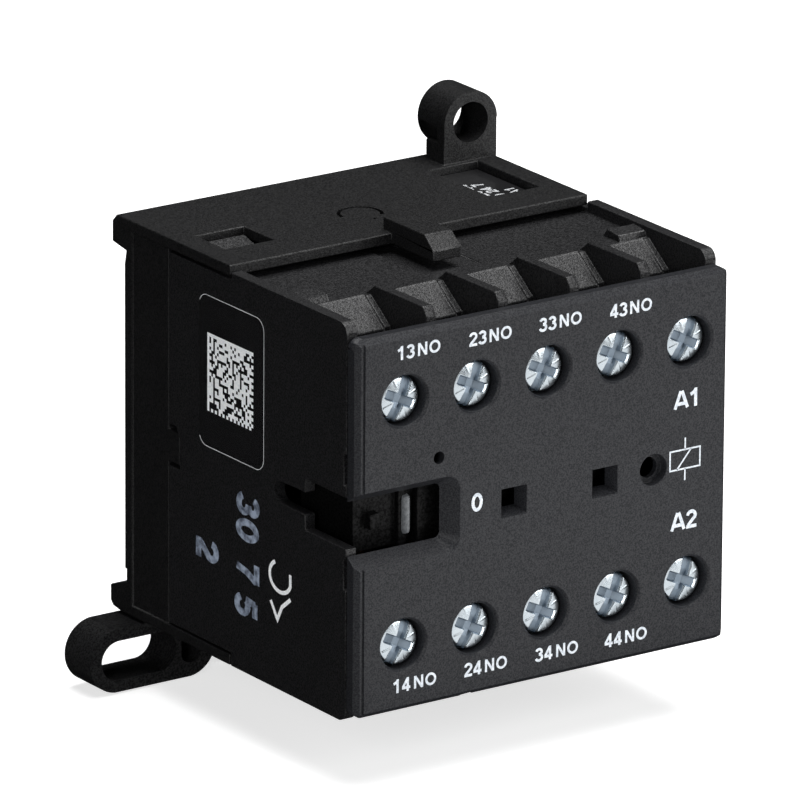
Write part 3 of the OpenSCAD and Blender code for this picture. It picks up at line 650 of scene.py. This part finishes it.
mesh = mesh_of("wound_coil", points * MM, grid_faces(*points.shape[:2], wrap_rows=True, wrap_cols=True))
finish_piece("wound_coil", mesh, "housing", enamelled_wire, ["coil_winding"])
print("coil of", int((high - low)[1] / wire_mm), "visible turns")

# %% [markdown]
# ## Indicator post
# A grey post on the carrier stands in the left window and shows whether the relay is pulled in.
# It is a bar with a half-round front: a profile of a half circle, drawn in at both ends.

# %% Indicator post
t, angle = np.meshgrid(np.linspace(-1, 1, 33), np.linspace(0, math.pi, 17), indexing="ij")
draw_in = (1 - np.abs(t) ** 10) ** 0.5
half_width, half_height, post_depth = 0.48, 2.1, 0.75
post_x, post_z = -14.45, -1.15
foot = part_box("contact_carrier")[0].y / MM + 0.5
across = post_x + half_width * np.cos(angle) * (0.4 + 0.6 * draw_in)
forward = foot - post_depth * np.sin(angle) * draw_in
points = np.stack([across, forward, post_z + half_height * t], axis=-1)
faces = grid_faces(33, 17).tolist() + [[17 * k, 17 * k + 16, 17 * k + 33, 17 * k + 17] for k in range(32)]
faces += [list(range(17)), list(range(32 * 17, 33 * 17))]
mesh = mesh_of("carrier_post", points * MM, faces)
finish_piece("carrier_post", mesh, "carrier", post_plastic)
print("post", 2 * half_width, "x", 2 * half_height, "mm")

# %% [markdown]
# ## Contact bridges
# A bridge is a strip of copper alloy with a silver button welded on each end. It is one softened
# piece with two finishes: the faces that stand behind the strip are silver.

# %% Bridges
for i in range(1, 5):
    piece = softened("contact_bridge_%d" % i, 0.08, bridge_copper)
    piece.data.materials.append(contact_silver)
    centres = np.zeros(len(piece.data.polygons) * 3)
    piece.data.polygons.foreach_get("center", centres)
    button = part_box("contact_bridge_%d" % i)[1].y - 0.5 * MM
    silver = (centres.reshape(-1, 3)[:, 1] > button).astype(np.int32)
    piece.data.polygons.foreach_set("material_index", silver)
print("4 bridges with silver buttons")

# %% [markdown]
# ## Printed marks
# The cover carries the usual terminal numbers, pad-printed in white, a position mark and the
# symbol of a coil. The ink is a film a few hundredths of a millimetre thick. The characters are
# drawn from strokes of even width: straight lines and arcs on a cell of height 1, like the
# stencils that pad-printing plates once came from. Every stroke is a narrow closed ribbon, and
# each lies 0.002 mm above the one before, as overprinted ink does.

# %% Ink
INK_MM = 0.03


def place_ink(name, mesh, origin_mm, across, upwards, material):
    """Moves a flat mark (mm, in its own XY plane) so that X runs along across and Y along upwards."""
    across, upwards = Vector(across).normalized(), Vector(upwards).normalized()
    turn = Matrix((across, upwards, across.cross(upwards))).transposed().to_4x4()
    mesh.transform(Matrix.Translation(Vector(origin_mm) * MM) @ turn @ Matrix.Scale(MM, 4))
    return finish_piece(name, mesh, "housing", material)


def ribbon(points, width_mm, closed):
    """Line of even width through corners (mm): each corner moves out along the mitre of its two sides."""
    p = np.asarray(points, float)
    ahead = np.roll(p, -1, axis=0) - p
    if not closed:
        ahead[-1] = ahead[-2]
    ahead /= np.linalg.norm(ahead, axis=1, keepdims=True)
    behind = np.roll(ahead, 1, axis=0)
    if not closed:
        behind[0] = ahead[0]
    normal = np.stack([-(ahead + behind)[:, 1], (ahead + behind)[:, 0]], axis=1)
    normal /= np.linalg.norm(normal, axis=1, keepdims=True)
    cosine = np.clip(np.sum(normal * np.stack([-ahead[:, 1], ahead[:, 0]], axis=1), axis=1), 0.35, 1)
    shift = normal * (width_mm / 2 / cosine)[:, None]
    section = [(p + shift, -0.5), (p + shift, 0.5), (p - shift, 0.5), (p - shift, -0.5)]
    grid = np.stack([np.column_stack([q, np.full(len(q), h * INK_MM)]) for q, h in section], axis=1)
    faces = grid_faces(len(p), 4, wrap_rows=closed, wrap_cols=True).tolist()
    if not closed:
        faces += [[0, 1, 2, 3], [4 * len(p) - 1, 4 * len(p) - 2, 4 * len(p) - 3, 4 * len(p) - 4]]
    return mesh_of("ribbon", grid, faces)


def arc(x, y, rx, ry, start_deg, end_deg, count=14):
    """Points on an ellipse, from one angle to another in either sense."""
    angle = np.radians(np.linspace(start_deg, end_deg, count))
    return np.column_stack([x + rx * np.cos(angle), y + ry * np.sin(angle)])


def line(*corners):
    """Corner list of a straight stroke, given as x, y, x, y."""
    return np.array(corners, float).reshape(-1, 2)


STROKES = {
    "0": (0.78, [arc(0.36, 0.5, 0.26, 0.41, 0, 360, 25)]),
    "1": (0.78, [line(0.42, 0, 0.42, 1), line(0.40, 0.9, 0.27, 0.76, 0.09, 0.69)]),
    "2": (0.78, [np.vstack([arc(0.36, 0.69, 0.25, 0.22, 175, -30), line(0.14, 0.16)]),
                 line(0.04, 0.09, 0.69, 0.09)]),
    "3": (0.78, [arc(0.34, 0.72, 0.23, 0.19, 165, -90), arc(0.34, 0.3, 0.26, 0.215, 90, -165)]),
    "4": (0.78, [line(0.49, 0.95, 0.08, 0.31), line(0.02, 0.27, 0.7, 0.27), line(0.49, 0, 0.49, 1)]),
    "5": (0.78, [line(0.15, 0.91, 0.64, 0.91), line(0.2, 0.93, 0.13, 0.5),
                 arc(0.34, 0.34, 0.26, 0.25, 125, -160)]),
    "7": (0.78, [line(0.04, 0.91, 0.67, 0.91), line(0.6, 0.88, 0.38, 0.45, 0.28, 0)]),
    "A": (1.0, [line(0.1, 0.02, 0.46, 0.98), line(0.9, 0.02, 0.54, 0.98), line(0.26, 0.28, 0.74, 0.28)]),
    "N": (1.02, [line(0.1, 0, 0.1, 1), line(0.74, 0, 0.74, 1), line(0.12, 0.96, 0.72, 0.04)]),
    "O": (1.1, [arc(0.5, 0.5, 0.4, 0.41, 0, 360, 29)]),
    " ": (0.4, []),
}


def letters(text, height_mm, weight=0.19):
    """Mesh of a line of text about the origin, from ribbons that are weight of the height wide."""
    pen, ribbons = 0.0, []
    for character in text:
        advance, strokes = STROKES[character]
        ribbons += [(stroke + [pen, 0]) * height_mm for stroke in strokes]
        pen += advance
    corners = np.vstack(ribbons)
    centre = (corners.min(0) + corners.max(0)) / 2
    joined = bmesh.new()
    for k, stroke in enumerate(ribbons):
        closed = np.allclose(stroke[0], stroke[-1])
        mesh = ribbon(stroke[:-1] - centre if closed else stroke - centre, weight * height_mm, closed)
        mesh.transform(Matrix.Translation((0, 0, 0.002 * k)))
        joined.from_mesh(mesh)
        bpy.data.meshes.remove(mesh)
    mesh = bpy.data.meshes.new("letters")
    joined.to_mesh(mesh)
    joined.free()
    return mesh


front_mm = face_y / MM
print("film", INK_MM, "mm thick on the plane y =", round(front_mm, 2), "mm")

# %% Terminal numbers
def cover_mark(name, text, x, z, height_mm):
    """White print on the cover, centred at x and z (mm)."""
    mesh = letters(text, height_mm)
    place_ink(name, mesh, (x, front_mm, z), (1, 0, 0), (0, 0, 1), white_ink)


upper_marks = ((-15.3, 17.0), (-6.7, 16.9), (1.8, 16.9), (10.4, 16.8))
lower_marks = ((-15.5, -17.7), (-6.9, -17.65), (1.8, -17.75), (10.3, -17.9))
for names, places in ((UPPER, upper_marks), (LOWER, lower_marks)):
    for name, (x, z) in zip(names, places):
        cover_mark("print_" + name + "_number", name, x - 1.5, z, 1.44)
        cover_mark("print_" + name + "_kind", "NO", x + 1.3, z, 1.33)
for text, x, z in (("A1", 17.34, 6.0), ("A2", 17.4, -6.85), ("0", -8.07, -0.2)):
    cover_mark("print_" + text.lower(), text, x, z, 1.92)
print("19 printed marks")

# %% Coil symbol
box_x, box_z = (15.55, 19.25), (-1.36, 0.66)
corners = [(box_x[0], box_z[0]), (box_x[1], box_z[0]), (box_x[1], box_z[1]), (box_x[0], box_z[1])]
middle_x = sum(box_x) / 2
strokes = {"box": (corners, True), "diagonal": ([(16.4, box_z[0]), (18.15, box_z[1])], False),
           "upper_lead": ([(middle_x, box_z[1]), (middle_x, box_z[1] + 1.25)], False),
           "lower_lead": ([(middle_x, box_z[0]), (middle_x, box_z[0] - 1.25)], False)}
for name, (points, closed) in strokes.items():
    place_ink("print_coil_" + name, ribbon(points, 0.17, closed), (0, front_mm, 0), (1, 0, 0), (0, 0, 1),
              white_ink)
print("coil symbol of 4 strokes")

# %% [markdown]
# ## Marks on the left flank and the coil label
# The flank has a glossy label with a square of dots, a stamped batch number and a hand-drawn
# inspection mark. A silver line along the top, front and bottom edges of the label is a painted
# highlight of its rounded edge. The dots are random, with a fixed seed, and the numbers are made
# up: none of them can be read by a machine or stands for anything. On the flank, text runs down
# the wall, so X of a mark is -Z there and its upward direction is -Y, towards the front.

# %% Side label
label_low, label_high = [np.array(v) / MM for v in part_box("side_label")]
flank_mm = label_low[0]
centre_y, centre_z = (label_low + label_high)[1] / 2, (label_low + label_high)[2] / 2
half_y, half_z = (label_high - label_low)[1] / 2, (label_high - label_low)[2] / 2
border = round_rectangle(half_y - 0.05, half_z - 0.05, 1.35, 64)
corner = len(border) // 4
# The line runs along the top, front and bottom edges only and leaves out the rear: a painted highlight where
# the label's rounded edge faces the light.
bright = (np.arange(len(border) - corner // 2) + 2 * corner + corner // 4) % len(border)
outline = ribbon(border[bright], 0.07, False)
place_ink("label_painted_edge_highlight", outline, (flank_mm, centre_y, centre_z), (0, -1, 0), (0, 0, 1),
          silver_print_and_painted_highlight)


def dot_square(cells, cell_mm, seed):
    """Random dots on a square grid with two solid sides: runs of equal cells become slabs of the film."""
    dots = np.random.default_rng(seed).random((cells, cells)) < 0.52
    every_second = np.arange(cells) % 2 == 0
    dots[-1, :], dots[:, -1] = every_second, every_second
    dots[0, :], dots[:, 0] = True, True
    row, col = np.nonzero(dots)
    half_side = cells * cell_mm / 2
    x, y = col * cell_mm - half_side, half_side - row * cell_mm
    grow = 0.52 * cell_mm
    corner = np.array([(-grow, -grow), (grow, -grow), (grow, grow), (-grow, grow)])
    flat = np.stack([x, y], axis=1)[:, None] + corner[None] + [cell_mm / 2, -cell_mm / 2]
    below = np.concatenate([flat, np.full(flat.shape[:2] + (1,), -0.5 * INK_MM)], axis=2)
    above = np.concatenate([flat, np.full(flat.shape[:2] + (1,), 0.5 * INK_MM)], axis=2)
    points = np.concatenate([below, above], axis=1).reshape(-1, 3)
    slab = np.array([(4, 5, 6, 7), (0, 3, 2, 1), (0, 1, 5, 4), (1, 2, 6, 5), (2, 3, 7, 6), (3, 0, 4, 7)])
    faces = (slab[None] + 8 * np.arange(len(row))[:, None, None]).reshape(-1, 4)
    mesh = bpy.data.meshes.new("dots")
    mesh.from_pydata(points.tolist(), [], faces.tolist())
    return mesh


place_ink("label_dots", dot_square(24, 0.342, 11), (flank_mm, -19.35, 8.95), (0, -1, 0), (0, 0, 1),
          bright_print)
print("label of", round(2 * half_y, 1), "x", round(2 * half_z, 1), "mm")

# %% Stamped number and inspection mark
wall_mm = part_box("contact_housing")[0].x / MM
stamps = (("3", -22.5, -3.2), ("0", -22.4, -5.9), ("7", -22.3, -10.2), ("5", -22.2, -14.0),
          ("2", -15.2, -10.0))
for k, (digit, y, z) in enumerate(stamps):
    mesh = letters(digit, 3.9, 0.24)
    mesh.transform(Matrix.Diagonal((0.82, 1, 1, 1)))
    place_ink("stamp_digit_%d" % k, mesh, (wall_mm, y, z), (0, 0, -1), (0, -1, 0),
              blue_grey_ink)
hook = np.vstack([arc(0, 0.2, 1.9, 1.6, 120, 340, 16), line(1.75, 0.9)])
tick = line(-1.7, 0.6, -0.5, -1.1, 0.3, 0.4, 1.8, 1.6)
for name, points, z in (("hook", hook, -9.3), ("tick", tick, -12.6)):
    place_ink("inspection_" + name, ribbon(points, 0.42, False), (wall_mm, -28.3, z), (0, -1, 0), (0, 0, 1),
              bright_print)
print("5 digits and 2 strokes")

# %% Coil label print
card_low, card_high = [np.array(v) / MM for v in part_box("coil_label")]
card_x, card_y = (card_low + card_high)[0] / 2, (card_low + card_high)[1] / 2
words = (("24 20 44", card_x - 1.95, card_y - 2.0, 1.3), ("30 24 7", card_x - 0.35, card_y - 1.9, 1.3),
         ("A1", card_x + 1.6, card_y - 3.0, 1.2))
for k, (text, x, y, height_mm) in enumerate(words):
    place_ink("coil_print_%d" % k, letters(text, height_mm), (x, y, card_high[2]), (0, 1, 0), (-1, 0, 0),
              silver_print_and_painted_highlight)
print("3 words on the coil label")

# %% [markdown]
# ## Camera
# The relay is seen from the front left and a little above, from more than a metre away with a
# long lens, so its verticals stay almost parallel.

# %% Camera
camera_data = bpy.data.cameras.new("camera")
camera_data.sensor_width = 36
camera_data.lens = 519.6
camera_data.clip_start = 0.1
camera_data.clip_end = 10
camera = bpy.data.objects.new("camera", camera_data)
bpy.context.scene.collection.objects.link(camera)
aim = Vector((-13.5, -35.9, 9.9)) * MM
away = Vector((-0.5411, -0.7811, 0.3116)).normalized()
level_right = Vector((0, 0, 1)).cross(away).normalized()
level_up = away.cross(level_right)
roll = math.radians(0.37)
right = level_right * math.cos(roll) + level_up * math.sin(roll)
up = away.cross(right)
camera.matrix_world = Matrix((right, up, away)).transposed().to_4x4()
camera_distance = 1.1438
camera.location = aim + away * camera_distance
bpy.context.scene.camera = camera
print("camera", round(camera.location.length, 3), "m from the rail seat")

# %% [markdown]
# ## Studio
# A large soft light above, one in front on the right, a bright card on the table that the cover
# and its screws mirror, and a narrow strip on the left. The left flank and the back stay dark,
# as they do when black plastic has little that is bright to mirror.

# %% Floor, lights and surroundings
def soft_light(name, place_mm, aim_mm, width_mm, height_mm, watts):
    """Rectangular area light at a place, aimed at a point."""
    data = bpy.data.lights.new(name, "AREA")
    data.shape = "RECTANGLE"
    data.size = width_mm * MM
    data.size_y = height_mm * MM
    data.energy = watts
    light = bpy.data.objects.new(name, data)
    bpy.context.scene.collection.objects.link(light)
    light.location = Vector(place_mm) * MM
    light.rotation_euler = (Vector(place_mm) - Vector(aim_mm)).to_track_quat("Z", "Y").to_euler()
    return light


floor_z = cad_box[0].z - 0.2 * MM
floor_mesh = bpy.data.meshes.new("floor")
reach = 3.0
corners = [(x * reach, y * reach, floor_z) for x, y in ((-1, -1), (1, -1), (1, 1), (-1, 1))]
floor_mesh.from_pydata(corners, [], [(0, 1, 2, 3)])
floor = bpy.data.objects.new("floor", floor_mesh)
bpy.context.scene.collection.objects.link(floor)
floor_paint, floor_tree, floor_shader, _ = new_material(
    "pale_matt_floor", "#e4e4e4", Roughness=0.9, Emission_Color=linear("#ffffff"))
floor_mesh.materials.append(floor_paint)
floor.visible_glossy = False
rays_at_floor = add(floor_tree, "ShaderNodeLightPath")
glow = add(floor_tree, "ShaderNodeMapRange", {"Value": (rays_at_floor, "Is Camera Ray")},
           To_Min=0.0, To_Max=0.68)
floor_tree.links.new(glow.outputs[0], floor_shader.inputs["Emission Strength"])
soft_light("overhead", (60, -60, 620), (0, -20, 0), 620, 520, 5.3)
soft_light("front", (420, -620, 260), (0, -30, 0), 420, 520, 2.6)
soft_light("table_card", (94, -168, floor_z / MM + 1), (94, -168, 300), 240, 230, 0.21)
soft_light("left_strip", (-520, -420, 160), (0, -20, 0), 160, 420, 1.3)
world = bpy.data.worlds.new("studio")
world.use_nodes = True
bpy.context.scene.world = world
backdrop = world.node_tree.nodes["Background"]
rays = add(world.node_tree, "ShaderNodeLightPath")
shade = add(world.node_tree, "ShaderNodeMapRange", {"Value": (rays, "Is Camera Ray")},
            To_Min=0.03, To_Max=1.0)
world.node_tree.links.new(shade.outputs[0], backdrop.inputs["Strength"])
bpy.context.scene.view_settings.view_transform = "Standard"
print("4 lights and a floor at", round(floor_z / MM, 2), "mm")

# %% [markdown]
# ## Size
# The box of the CAD model is printed at the start.
